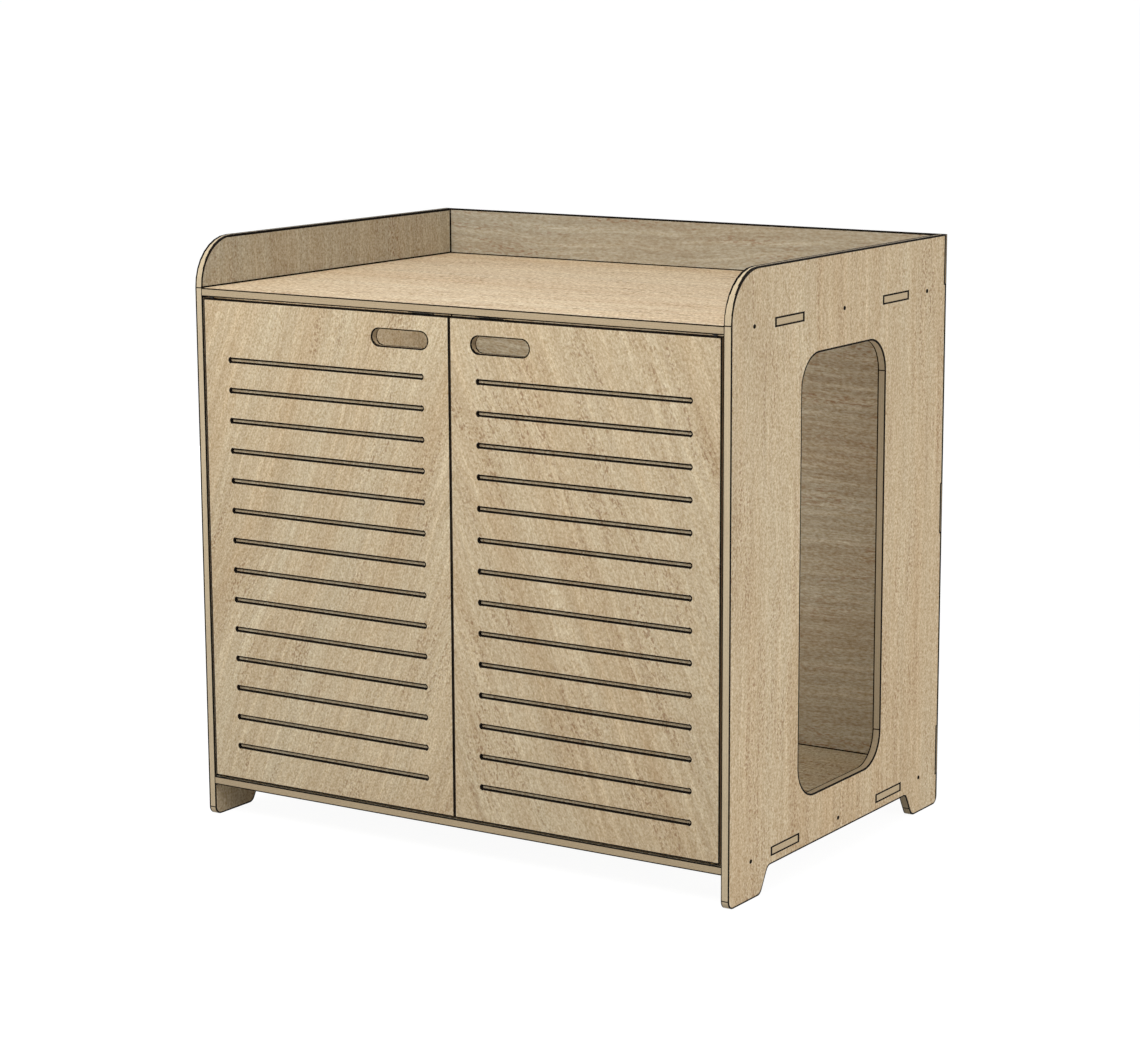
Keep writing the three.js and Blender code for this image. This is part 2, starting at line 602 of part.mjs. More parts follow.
// ---- Doors -----------------------------------------------------------------------------
// A door in its own frame: the pivot axis is X = 0, Y = 0, and Z is still the case's
// height. side is -1 for the left door and 1 for the right one.
function doorPanel(side) {
  const outerX = side * PIVOT_INSET;
  const meetingX = outerX - side * DOOR_WIDTH;
  const middleX = (outerX + meetingX) / 2;
  const middleZ = (DOOR_BOTTOM_Z + DOOR_TOP_Z) / 2;
  const handleX = meetingX + side * (HANDLE_SIDE_INSET + HANDLE_LENGTH / 2);
  const handleZ = DOOR_TOP_Z - HANDLE_TOP_INSET - HANDLE_HEIGHT / 2;
  const lowestGrooveZ = DOOR_BOTTOM_Z + GROOVE_LOWEST_INSET + GROOVE_WIDTH / 2;
  const grooveLength = DOOR_WIDTH - 2 * GROOVE_SIDE_INSET;
  const outline = rectangle(DOOR_WIDTH, DOOR_TOP_Z - DOOR_BOTTOM_Z, middleX, middleZ);
  const handHole = slot(HANDLE_LENGTH, HANDLE_HEIGHT, handleX, handleZ);
  const panel = standFacing(board(outline, DOOR_THICKNESS, [handHole]));

  const cutters = [];
  for (let n = 0; n < GROOVE_COUNT; n++) {
    const groove = slot(grooveLength, GROOVE_WIDTH, middleX, lowestGrooveZ + n * GROOVE_PITCH);
    cutters.push(standFacing(board(groove, 2 * GROOVE_DEPTH)).translate(0, -DOOR_THICKNESS / 2, 0));
  }
  const pinDepth = PIVOT_PIN_GRIP + PIVOT_FIT;
  for (const [edgeZ, endZ] of [
    [DOOR_BOTTOM_Z - 1, DOOR_BOTTOM_Z + pinDepth],
    [DOOR_TOP_Z + 1, DOOR_TOP_Z - pinDepth],
  ]) {
    cutters.push(bore('z', PIVOT_HOLE_RADIUS, edgeZ, endZ, { x: 0, y: 0 }, ROUND_SIDES));
  }
  const screwHoleEnd = STRIKE_REAR_Y + SEAT_GAP - SCREW_LENGTH - SCREW_CLEARANCE - DOOR_CENTRE_Y;
  for (const x of strikeScrewXs(side)) {
    cutters.push(bore('y', SCREW_HOLE_RADIUS, DOOR_THICKNESS, screwHoleEnd, { x, z: STRIKE_Z }));
  }
  return cut(panel, cutters);
}

// Places along a door, in the door's own frame.
const strikeX = (side) => side * (CATCH_X - PIVOT_X);
const strikeScrewXs = (side) =>
  [-0.5, 0.5].map((k) => strikeX(side) + side * k * STRIKE_SCREW_SPACING);

// A pivot pin with its outer end at Z = 0 and its held end above.
function pivotPin() {
  const radius = PIVOT_PIN_DIAMETER / 2;
  const length = PIVOT_PIN_REACH + DOOR_GAP + PIVOT_PIN_GRIP;
  const profile = [
    [0, 0],
    [radius - PIVOT_CHAMFER, 0],
    [radius, PIVOT_CHAMFER],
    [radius, length - PIVOT_CHAMFER],
    [radius - PIVOT_CHAMFER, length],
    [0, length],
  ];
  return turned(profile, ROUND_SIDES);
}

// A washer that fills the gap between the lower bush's flange and the door.
function thrustWasher() {
  const thickness = DOOR_GAP - FLANGE_FACE - RUNNING_GAP - SEAT_GAP;
  const profile = [
    [PIVOT_HOLE_RADIUS, 0],
    [FLANGE_DIAMETER / 2, 0],
    [FLANGE_DIAMETER / 2, thickness],
    [PIVOT_HOLE_RADIUS, thickness],
    [PIVOT_HOLE_RADIUS, 0],
  ];
  return turned(profile, ROUND_SIDES);
}

// A flat steel plate on the back of a door, centred on the origin.
function strikePlate() {
  const screwHoles = [-0.5, 0.5].map((k) => circle(SCREW_HOLE_RADIUS, k * STRIKE_SCREW_SPACING, 0));
  return standFacing(board(rectangle(STRIKE_LENGTH, STRIKE_HEIGHT), STRIKE_THICKNESS, screwHoles));
}

// ---- Each side's door and what it hangs on and shuts against ---------------------------
for (const [name, side] of [['left', -1], ['right', 1]]) {
  const pivotX = side * PIVOT_X;
  const lowerBushPlace = [pivotX, DOOR_CENTRE_Y, BOTTOM_SURFACE_Z];
  const upperBushPlace = [pivotX, DOOR_CENTRE_Y, TOP_UNDERSIDE_Z];
  addMesh(cabinet, `${name}_pivot_bush_bottom`, pivotBush(), nylon, lowerBushPlace);
  addMesh(cabinet, `${name}_pivot_bush_top`, pivotBush(), nylon, upperBushPlace, HEAD_DOWN);

  const catchX = side * CATCH_X;
  const magnet = new THREE.BoxGeometry(MAGNET_LENGTH, MAGNET_DEPTH, MAGNET_HEIGHT);
  const magnetPlace = [catchX, MAGNET_FRONT_Y + MAGNET_DEPTH / 2, STRIKE_Z];
  addMesh(cabinet, `${name}_catch_body`, catchBody(), catchPlastic, [
    catchX,
    CATCH_FRONT_Y,
    CATCH_TOP_Z,
  ]);
  addMesh(cabinet, `${name}_catch_magnet`, magnet, magnetBlack, magnetPlace);
  for (const [end, k] of [['inner', -1], ['outer', 1]]) {
    const place = [catchX + side * k * CATCH_SCREW_X, CATCH_MIDDLE_Y, CATCH_SCREW_Z];
    addMesh(cabinet, `${name}_catch_screw_${end}`, panHeadScrew(), screwSteel, place, HEAD_DOWN);
  }

  const door = new THREE.Group();
  door.name = `${name}_door`;
  door.position.set(pivotX, DOOR_CENTRE_Y, 0);
  cabinet.add(door);
  addMesh(door, `${name}_door_panel`, doorPanel(side), plywood);

  const lowerPinPlace = [0, 0, BOTTOM_SURFACE_Z - PIVOT_PIN_REACH];
  const upperPinPlace = [0, 0, TOP_UNDERSIDE_Z + PIVOT_PIN_REACH];
  addMesh(door, `${name}_pivot_pin_bottom`, pivotPin(), pivotSteel, lowerPinPlace);
  addMesh(door, `${name}_pivot_pin_top`, pivotPin(), pivotSteel, upperPinPlace, HEAD_DOWN);
  const washerPlace = [0, 0, BOTTOM_SURFACE_Z + FLANGE_FACE + RUNNING_GAP];
  addMesh(door, `${name}_thrust_washer`, thrustWasher(), brass, washerPlace);

  const strikeY = STRIKE_REAR_Y - STRIKE_THICKNESS / 2 - DOOR_CENTRE_Y;
  const strikePlace = [strikeX(side), strikeY, STRIKE_Z];
  addMesh(door, `${name}_strike_plate`, strikePlate(), screwSteel, strikePlace);
  const screwY = STRIKE_REAR_Y + SEAT_GAP - DOOR_CENTRE_Y;
  for (const [end, x] of ['inner', 'outer'].map((word, i) => [word, strikeScrewXs(side)[i]])) {
    const place = [x, screwY, STRIKE_Z];
    addMesh(door, `${name}_strike_screw_${end}`, panHeadScrew(), screwSteel, place, HEAD_TO_BACK);
  }
}

export default cabinet;
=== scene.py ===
"""Litter box cabinet: finishes of its plywood panels, pins, pivots and catches, with a studio.

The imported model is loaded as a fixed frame. Each operator below finishes some of its pieces,
and the last one sets up the studio. Lengths are in metres, in the frame of the model: X to the
side with the cat entry, Y from the doors to the back, Z up. The panels are flat-cut plywood
whose arrises and joints the cutter has scorched, so each panel's material works out how far a
point is from them.
"""

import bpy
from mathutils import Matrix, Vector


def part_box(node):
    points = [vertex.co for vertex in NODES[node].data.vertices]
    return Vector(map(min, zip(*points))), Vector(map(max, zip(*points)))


bl_info = {
    "name": "Litter box cabinet",
    "version": (1, 1, 0),
    "blender": (4, 5, 0),
    "location": "3D View > Sidebar > Cabinet",
    "description": "Finishes the pieces of a plywood litter box cabinet and sets up its studio",
    "category": "Object",
}

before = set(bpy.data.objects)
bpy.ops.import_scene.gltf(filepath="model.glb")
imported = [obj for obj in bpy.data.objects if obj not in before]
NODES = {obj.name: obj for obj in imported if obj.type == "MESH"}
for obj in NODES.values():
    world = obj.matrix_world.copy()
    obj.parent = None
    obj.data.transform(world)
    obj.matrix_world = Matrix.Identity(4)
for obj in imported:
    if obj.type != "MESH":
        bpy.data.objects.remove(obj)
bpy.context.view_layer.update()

import math
from typing import Callable, NamedTuple

import bpy
from mathutils import Vector

X_AXIS, Y_AXIS, Z_AXIS = Vector((1, 0, 0)), Vector((0, 1, 0)), Vector((0, 0, 1))

# Places in the frame
CASE_LOW, CASE_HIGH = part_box("right_side_panel")
INNER_X = CASE_LOW.x  # inner face of the right side panel
SIDE_MIDDLE_X = (CASE_LOW.x + CASE_HIGH.x) / 2
FRONT_Y, REAR_Y = CASE_LOW.y, CASE_HIGH.y
BACK_INNER_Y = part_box("back_panel")[0].y
BACK_MIDDLE_Y = (BACK_INNER_Y + REAR_Y) / 2
TOP_SURFACE_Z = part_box("top_panel")[1].z
UNDERFLOOR_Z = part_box("bottom_panel")[0].z
SHELF_HALF = (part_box("bottom_panel")[1].z - UNDERFLOOR_Z) / 2
SHELF_MIDDLE_Y = (FRONT_Y + BACK_INNER_Y) / 2
INSIDE_MIDDLE_Z = (TOP_SURFACE_Z + UNDERFLOOR_Z) / 2
SHELF_OFFSET = (TOP_SURFACE_Z - UNDERFLOOR_Z) / 2 - SHELF_HALF  # from the middle height

# Sizes that the cutter followed
TENON_HALF = 0.03825  # half of a mortise's length
SIDE_TENON_SPACING = 0.3302
BACK_TENON_SPACING = 0.508
TAB_HALF = 0.03825  # half of a tab's height
LOW_TAB_Z = 0.0889  # middle of the lowest tab
TAB_PITCH = 0.3937
LIP_RADIUS = 0.0762
FOOT_RADIUS = 0.0127
FOOT_CUT_Y = 0.0015  # middle of the cut between the feet
FOOT_CUT_HALF = 0.242875  # half of its length along the ground
FOOT_CUT_HEIGHT = 0.0381
FOOT_SLOPE = math.radians(30)
FOOT_BLEND = 0.0102  # reach of the blend that rounds the foot's corners in the lines
ENTRY_HALF_WIDTH = 0.130175
ENTRY_HALF_HEIGHT = 0.3302
ENTRY_RADIUS = 0.0508
GROOVE_PITCH = 0.0469
GROOVE_COUNT = 14
GROOVE_RADIUS = 0.003175
GROOVE_LOWEST = 0.053975  # middle of the lowest groove above the door's bottom edge
GROOVE_INSET = 0.047625  # groove's end from the door's edge
HANDLE_RADIUS = 0.0127
HANDLE_HALF = 0.0381  # half of the straight part of the hand hole
HANDLE_MEETING_INSET = 0.0889  # middle of the hand hole from the door's meeting edge
HANDLE_TOP_INSET = 0.0381  # middle of the hand hole from the door's top edge

# How far the distance from an edge counts: below 1 its scorch is wider, and above 1 narrower
MORTISE_END = 0.45
MORTISE_SIDE = 2.4  # beside the scorched arrises of the tenon
REAR_RIM = 0.45
LIP_RIM = 0.65
ENTRY_RIM = 0.85
PIN_ACROSS = 0.8

# Camera, at the place that a fit to the known sizes gave
CAMERA_PLACE = (2.55268, -3.92338, 1.3378)
CAMERA_SHIFT = (-0.0622, 0.0102)


def srgb(red, green, blue):
    """The linear colour of 8-bit display values."""
    def linear(level):
        part = level / 255
        return part / 12.92 if part <= 0.04045 else ((part + 0.055) / 1.055) ** 2.4

    return (linear(red), linear(green), linear(blue))


# ---- Shader nodes --------------------------------------------------------------------------
class Wire:
    """A shader output. An expression on it adds the Math nodes that work it out."""

    def __init__(self, shader, socket):
        self.shader = shader
        self.socket = socket

    def _math(self, operation, *values):
        return self.shader.node("ShaderNodeMath", {"operation": operation}, dict(enumerate(values)))

    def __add__(self, other):
        return self._math("ADD", self, other)

    def __sub__(self, other):
        return self._math("SUBTRACT", self, other)

    def __rsub__(self, other):
        return self._math("SUBTRACT", other, self)

    def __mul__(self, other):
        return self._math("MULTIPLY", self, other)

    def __truediv__(self, other):
        return self._math("DIVIDE", self, other)

    def __gt__(self, other):
        return self._math("GREATER_THAN", self, other)

    def __lt__(self, other):
        return self._math("LESS_THAN", self, other)

    def __abs__(self):
        return self._math("ABSOLUTE", self)

    __radd__ = __add__
    __rmul__ = __mul__

    def least(self, other, blend=0.0):
        """The smaller value, with a rounded change from one to the other over the blend."""
        if blend:
            return self._math("SMOOTH_MIN", self, other, blend)
        return self._math("MINIMUM", self, other)

    def most(self, other, blend=0.0):
        """The larger value, with a rounded change from one to the other over the blend."""
        if blend:
            return self._math("SMOOTH_MAX", self, other, blend)
        return self._math("MAXIMUM", self, other)

    def fraction(self):
        return self._math("FRACT", self)

    def nearest(self, first, pitch):
        """Distance to the nearest of the places first, first + pitch and so on."""
        return abs(((self - first) / pitch + 0.5).fraction() - 0.5) * pitch

    def rise(self, low, high):
        """0 below low, 1 above high, and a smooth rise between."""
        settings = {"interpolation_type": "SMOOTHSTEP"}
        sockets = {"Value": self, "From Min": low, "From Max": high}
        return self.shader.node("ShaderNodeMapRange", settings, sockets)


class Shader:
    """The nodes of a material or of the world, which are added one by one."""

    def __init__(self, owner):
        self.owner = owner
        owner.use_nodes = True
        self.tree = owner.node_tree
        self.tree.nodes.clear()

    def node(self, kind, settings=None, sockets=None, output=0):
        """Adds a node, first with its settings and then with its sockets' values or links."""
        added = self.tree.nodes.new(kind)
        for name, value in (settings or {}).items():
            setattr(added, name, value)
        for key, value in (sockets or {}).items():
            socket = added.inputs[key]
            if isinstance(value, Wire):
                self.tree.links.new(value.socket, socket)
            elif isinstance(value, (tuple, list, Vector)) and len(socket.default_value) == 4:
                socket.default_value = (*value, 1.0)
            else:
                socket.default_value = value
        return Wire(self, added.outputs[output])

    def position(self):
        """The place on the piece, in metres, which moves with the piece."""
        return self.node("ShaderNodeTexCoord", output="Object")

    def split(self, vector):
        """The vector's x, y and z."""
        first = self.node("ShaderNodeSeparateXYZ", sockets={"Vector": vector})
        outputs = first.socket.node.outputs
        return tuple(Wire(self, outputs[axis]) for axis in "XYZ")

    def along(self, vector, direction):
        """How far the vector goes in the direction."""
        sockets = {0: vector, 1: Vector(direction)}
        return self.node("ShaderNodeVectorMath", {"operation": "DOT_PRODUCT"}, sockets, "Value")

    def combine(self, x, y, z=0.0):
        return self.node("ShaderNodeCombineXYZ", sockets={"X": x, "Y": y, "Z": z})

    def distance(self, x, y):
        """Length of the vector (x, y)."""
        sockets = {0: self.combine(x, y)}
        return self.node("ShaderNodeVectorMath", {"operation": "LENGTH"}, sockets, "Value")

    def noise(self, vector, detail=2.0, roughness=0.5):
        """Noise from 0 to 1 with features about one unit of the vector across."""
        sockets = {"Vector": vector, "Scale": 1.0, "Detail": detail, "Roughness": roughness}
        return self.node("ShaderNodeTexNoise", sockets=sockets)

    def noise_of_size(self, size, detail=2.0, roughness=0.5):
        """Even noise on the piece with features of that size, in metres."""
        scaled = {0: self.position(), "Scale": 1 / size}
        vector = self.node("ShaderNodeVectorMath", {"operation": "SCALE"}, scaled)
        return self.noise(vector, detail, roughness)

    def mix(self, factor, first, second, blend="MIX"):
        settings = {"data_type": "RGBA", "blend_type": blend}
        return self.node("ShaderNodeMix", settings, {0: factor, 6: first, 7: second}, 2)

    def shade(self, tone, change, spread=(1.0, 1.0, 1.0)):
        """The tone, made lighter or darker by a share of it, which is spread over its colours."""
        sockets = {index: 1 + change * part for index, part in enumerate(spread)}
        light = self.node("ShaderNodeCombineColor", sockets=sockets)
        return self.mix(1.0, tone, light, "MULTIPLY")

    def bump(self, height, depth):
        """A normal for a surface that rises by height times depth, in metres."""
        sockets = {"Strength": 1.0, "Distance": depth, "Height": height}
        return self.node("ShaderNodeBump", sockets=sockets)

    def surface(self, **sockets):
        """Ends the material in a Principled shader. Socket names have _ for a space."""
        named = {name.replace("_", " "): value for name, value in sockets.items()}
        return self.end(self.node("ShaderNodeBsdfPrincipled", sockets=named))

    def end(self, shaded, kind="ShaderNodeOutputMaterial"):
        """Links the finished shader to the output, and gives the material or world back."""
        output = self.tree.nodes.new(kind)
        self.tree.links.new(shaded.socket, output.inputs["Surface"])
        return self.owner


def new_material(name):
    return Shader(bpy.data.materials.new(name))


# ---- Settings ------------------------------------------------------------------------------
def colour(name, description, default):
    return bpy.props.FloatVectorProperty(
        name=name, description=description, subtype="COLOR", min=0.0, max=1.0, default=default
    )


def length(name, description, default):
    return bpy.props.FloatProperty(
        name=name, description=description, unit="LENGTH", min=0.0, default=default
    )


def share(name, description, default):
    return bpy.props.FloatProperty(
        name=name, description=description, subtype="FACTOR", min=0.0, max=1.0, default=default
    )


def angle(name, description, degrees):
    return bpy.props.FloatProperty(
        name=name, description=description, subtype="ANGLE", default=math.radians(degrees)
    )


def power(name, description, default):
    return bpy.props.FloatProperty(name=name, description=description, min=0.0, default=default)


class PlywoodSettings(bpy.types.PropertyGroup):
    pale: colour("Pale veneer", "Colour of the pale bands of the veneer", srgb(222, 205, 175))
    warm: colour("Warm veneer", "Colour of the warm bands of the veneer", srgb(214, 184, 146))
    top_tint: colour("Top tint", "Tint of the top panel's veneer", (1.0, 1.0, 1.0))
    # painted shade: the bottom panel, which lies inside the case, is tinted darker and cooler
    bottom_shade_tint: colour("Bottom tint", "Tint of the bottom panel's veneer", (0.76, 0.87, 0.98))
    door_tint: colour("Door tint", "Tint of the doors' veneer", (0.89, 0.905, 0.89))
    side_tint: colour("Outer tint", "Tint of the sides' and back's outer faces", (0.82, 0.82, 0.80))
    # painted shade: the left side's inner face is tinted darker and cooler, for the shade inside
    # the case
    left_shade_tint: colour("Left inner tint", "Tint of the left side's inner face", (0.78, 0.87, 0.97))
    # painted shade: the back's inner face is tinted darker and cooler, for the shade inside the
    # case
    back_shade_tint: colour("Back inner tint", "Tint of the back's inner face", (0.60, 0.68, 0.77))
    fleck: colour("Flecks", "Colour of the short flecks along the grain", srgb(134, 92, 58))
    rim: colour("Side rims", "Colour of the cut edges of the side panels", srgb(212, 194, 162))
    cut: colour("Cut edges", "Colour of the cut edges of the other panels", srgb(191, 172, 141))
    glue: colour("Glue lines", "Colour of the darker plies in a cut edge", srgb(170, 144, 110))
    # The scorch colour also paints the shade on the entry's wall and the doors' top edges.
    scorch: colour("Scorch", "Colour of the arrises and joints that are scorched", srgb(18, 13, 8))
    line: length("Scorch width", "Width of the scorch along an arris", 0.0017)
    side_line: length("Scorch width on the sides", "Width of the scorch on the side panels", 0.0023)
    lip_line: length("Scorch width on the lip", "Width of the scorch on the lip's top edge", 0.0052)
    groove_line: length("Scorch width in grooves", "Width of the scorch on their floors", 0.0016)
    pin_scorch: length("Scorch round pins", "Radius of the dark ring round a panel pin", 0.0032)
    ply: length("Ply thickness", "Thickness of one ply in a cut edge", 0.00141)
    door_lean: angle("Lean of the door veneer", "Angle of the doors' grain from upright", 22)
    roughness: share("Roughness", "Roughness of the oiled veneer", 0.62)
    sheen: share("Sheen", "How much the bare wood mirrors, where 0.5 is a varnished one", 0.12)


class HardwareSettings(bpy.types.PropertyGroup):
    pin: colour("Panel pins", "Colour of the waxed panel pins", srgb(40, 34, 29))
    # painted shade: the pivot pins are dark so that they show as shade in the gaps round the doors
    steel: colour("Pivot pins", "Colour of the blued pivot pins", srgb(74, 72, 72))
    zinc: colour("Screws and plates", "Colour of the zinc plate", srgb(176, 178, 176))
    brass: colour("Washers", "Colour of the tarnished brass washers", srgb(96, 78, 46))
    # painted shade: the bushes are dark so that they show as shade in the gaps round the doors
    nylon: colour("Bushes", "Colour of the black nylon bushes", srgb(50, 48, 47))
    catch: colour("Catches", "Colour of the moulded catches", srgb(214, 208, 194))
    magnet: colour("Magnets", "Colour of the magnets", srgb(48, 47, 48))
    edge: length("Edge radius", "Radius of the edges of small metal and plastic pieces", 0.0002)


class StudioSettings(bpy.types.PropertyGroup):
    floor: share("Floor", "How much light the pale floor throws back at the object", 0.5)
    shadow: share("Shadow", "How strongly the object's shadow shows on the floor", 0.16)
    floor_size: length("Floor size", "Side of the square floor", 240.0)
    azimuth: angle("Camera azimuth", "Turn of the camera to the right of the front", 31.77)
    elevation: angle("Camera elevation", "Height angle of the camera", 10.95)
    focal: bpy.props.FloatProperty(
        name="Focal length", description="Focal length on a 36 mm sensor, in mm", default=95.68
    )
    sky: power("Sky", "Strength of the sky", 0.43)
    key: power("Key lamp", "Power of the soft lamp above the front, in watts", 53.0)
    side: power("Side lamp", "Power of the soft lamp low on the right, in watts", 39.0)
    rear: power("Rear lamp", "Power of the soft lamp behind the left side, in watts", 40.0)
    inside: power("Inside lamp", "Power of the lamp behind the doors, in watts", 2.7)


# ---- Scorched lines ------------------------------------------------------------------------
# The functions whose names end in lines say where the cutter has scorched a panel's faces: 1
# there, 0 elsewhere.
def outside_box(shader, x, y, half_x, half_y, radius):
    """Distance outside a rectangle with round corners."""
    across = (abs(x) - (half_x - radius)).most(0)
    up = (abs(y) - (half_y - radius)).most(0)
    return shader.distance(across, up) - radius


def outside_slot(shader, x, y, half, radius):
    """Distance outside a slot with round ends, and below 0 inside it."""
    return shader.distance((abs(x) - half).most(0), y) - radius


def pin_rings(shader, words, across, up, axis, width):
    """Dark rings round the panel pins with the words in their names.

    across and up are the place on the face, and axis is the one that across follows.
    """
    ring = None
    for name in NODES:
        if words in name:
            low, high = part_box(name)
            middle = (low + high) / 2
            reach = shader.distance((across - middle[axis]) * PIN_ACROSS, up - middle.z)
            ring = reach if ring is None else ring.least(reach)
    return ring < width


def shelf_height(z):
    """Distance above or below the faces of the nearer shelf."""
    return abs(abs(z - INSIDE_MIDDLE_Z) - SHELF_OFFSET) - SHELF_HALF


def side_lines(shader, settings, side):
    """Rims of a side panel, its mortises and entry, and where the other panels meet it."""
    x, y, z = shader.split(shader.position())
    half_depth = (REAR_Y - FRONT_Y) / 2
    half_height = (CASE_HIGH.z - CASE_LOW.z) / 2
    square = 2 * settings.side_line  # radius that keeps the line of a square corner in one piece
    upper = z > half_height
    radius = square + (1 - upper) * (FOOT_RADIUS - square)
    radius = radius + upper * (y < 0) * (LIP_RADIUS - square)
    across = (abs(y) - (half_depth - radius)).most(0)
    up = (abs(z - half_height) - (half_height - radius)).most(0)
    rim = radius - shader.distance(across, up)

    run = math.tan(FOOT_SLOPE)
    slope = (abs(y - FOOT_CUT_Y) - FOOT_CUT_HALF + z * run) * math.cos(FOOT_SLOPE)
    foot_cut = slope.most(z - FOOT_CUT_HEIGHT, FOOT_BLEND)
    rim = rim.least(foot_cut, FOOT_BLEND)

    inner = abs(x) < SIDE_MIDDLE_X
    top_edge = (CASE_HIGH.z - z) * (1 - inner * (1 - LIP_RIM))
    rim = rim.least((REAR_Y - y) * REAR_RIM).least(top_edge)
    tab = (z.nearest(LOW_TAB_Z, TAB_PITCH) - TAB_HALF).most(BACK_INNER_Y - y)
    shelf = shelf_height(z)
    tenon = (abs(abs(y - SHELF_MIDDLE_Y) - SIDE_TENON_SPACING / 2) - TENON_HALF) * MORTISE_END
    rim = rim.least(tab).least(tenon.most(shelf * MORTISE_SIDE))
    if side == "right":
        height = z - INSIDE_MIDDLE_Z
        entry = outside_box(
            shader, y, height, ENTRY_HALF_WIDTH, ENTRY_HALF_HEIGHT, ENTRY_RADIUS
        )
        rim = rim.least(entry * ENTRY_RIM)
    back = (BACK_INNER_Y - y).most(UNDERFLOOR_Z - z)
    joint = (abs(x) - SIDE_MIDDLE_X).most(shelf.least(back))
    rings = pin_rings(shader, f"{side}_side_pin", y, z, 1, settings.pin_scorch)
    outer = abs(x) > SIDE_MIDDLE_X
    return (rim.least(joint) < settings.side_line).most(rings * outer)


def shelf_lines(shader, settings):
    """Rims of the top or bottom panel, and where the sides and the back meet it."""
    x, y, _ = shader.split(shader.position())
    return (INNER_X - abs(x)).least(BACK_INNER_Y - y).least(y - FRONT_Y) < settings.line


def back_lines(shader, settings):
    """Rims of the back panel and its mortises, and where the other panels meet it."""
    x, y, z = shader.split(shader.position())
    outer = y > BACK_MIDDLE_Y
    tab = (TAB_HALF - z.nearest(LOW_TAB_Z, TAB_PITCH)).least(CASE_HIGH.x - abs(x))
    rim = (INNER_X - abs(x)).most(tab * outer)
    rim = rim.least((CASE_HIGH.z - z) * LIP_RIM).least(z - UNDERFLOOR_Z)
    shelf = shelf_height(z)
    tenon = (abs(abs(x) - BACK_TENON_SPACING / 2) - TENON_HALF) * MORTISE_END
    joint = (y - BACK_MIDDLE_Y).most(shelf)
    rings = pin_rings(shader, "back_pin", x, z, 0, settings.pin_scorch)
    rim = rim.least(tenon.most(shelf * MORTISE_SIDE)).least(joint)
    return (rim < settings.line).most(rings * outer)


def in_entry(y, z, margin):
    """1 in the entry and as far outside it as the margin, so that its wall is taken in."""
    at_height = abs(z - INSIDE_MIDDLE_Z) < ENTRY_HALF_HEIGHT + margin
    return at_height * (abs(y) < ENTRY_HALF_WIDTH + margin)


class DoorPlan:
    """Where a door's edges, grooves and hand hole lie."""

    def __init__(self, side):
        low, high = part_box(f"{side}_door_panel")
        toward_middle = 1 if side == "left" else -1
        self.centre = (low + high) / 2
        self.half = (high - low) / 2
        self.handle_x = self.centre.x + toward_middle * (self.half.x - HANDLE_MEETING_INSET)
        self.handle_z = high.z - HANDLE_TOP_INSET
        self.lowest_z = low.z + GROOVE_LOWEST
        self.groove_half = self.half.x - GROOVE_INSET - GROOVE_RADIUS

    def outside_groove(self, shader, x, z):
        """Distance outside the nearest groove, and below 0 inside it."""
        above = z.nearest(self.lowest_z, GROOVE_PITCH)
        past_end = (abs(x - self.centre.x) - self.groove_half).most(0)
        highest = self.lowest_z + (GROOVE_COUNT - 0.5) * GROOVE_PITCH
        beyond = (z - highest).most(self.lowest_z - GROOVE_PITCH / 2 - z)
        return (shader.distance(past_end, above) - GROOVE_RADIUS).most(beyond)


def door_lines(shader, settings, plan):
    """Rims of a door, its hand hole and grooves, and the sides of the grooves' floors."""
    x, y, z = shader.split(shader.position())
    rim = (plan.half.x - abs(x - plan.centre.x)).least(plan.half.z - abs(z - plan.centre.z))
    handle = outside_slot(shader, x - plan.handle_x, z - plan.handle_z, HANDLE_HALF, HANDLE_RADIUS)
    groove = plan.outside_groove(shader, x, z)
    in_front = y < plan.centre.y
    at_end = abs(x - plan.centre.x) > plan.groove_half
    rim_width = settings.line * (0.7 + 0.4 * at_end)
    groove_rim = (groove < rim_width) * (groove > -settings.groove_line) * in_front
    return (rim.least(handle) < settings.line).most(groove_rim)


# ---- Plywood -------------------------------------------------------------------------------
FACE, CUT = range(2)  # material slots of a plywood piece
FLAT = 0.9  # a face counts as a board's face where its normal is this near the board's
FLECK_SPREAD = (0.76, 1.0, 1.34)  # dark fibres are browner, and pale ones creamier
ENTRY_WALL_SHADE = 0.25  # painted shade: how far the wall of the entry takes the scorch colour


class Look(NamedTuple):
    """How one piece of veneer differs from the others."""

    seed: float
    tint: tuple
    figure: float  # strength of the pale and warm streaks
    contrast: float  # strength of the fine grain
    pore: tuple  # length and width of the pores
    lip_contrast: float = None  # strength of the fine grain above the top panel, if it differs
    inner_shade_tint: tuple = None  # painted shade: darker, cooler tint of the inner face, if it differs
    inner: Callable = None  # tells from the place whether it is on the inner face, which takes the painted shade of the inner tint
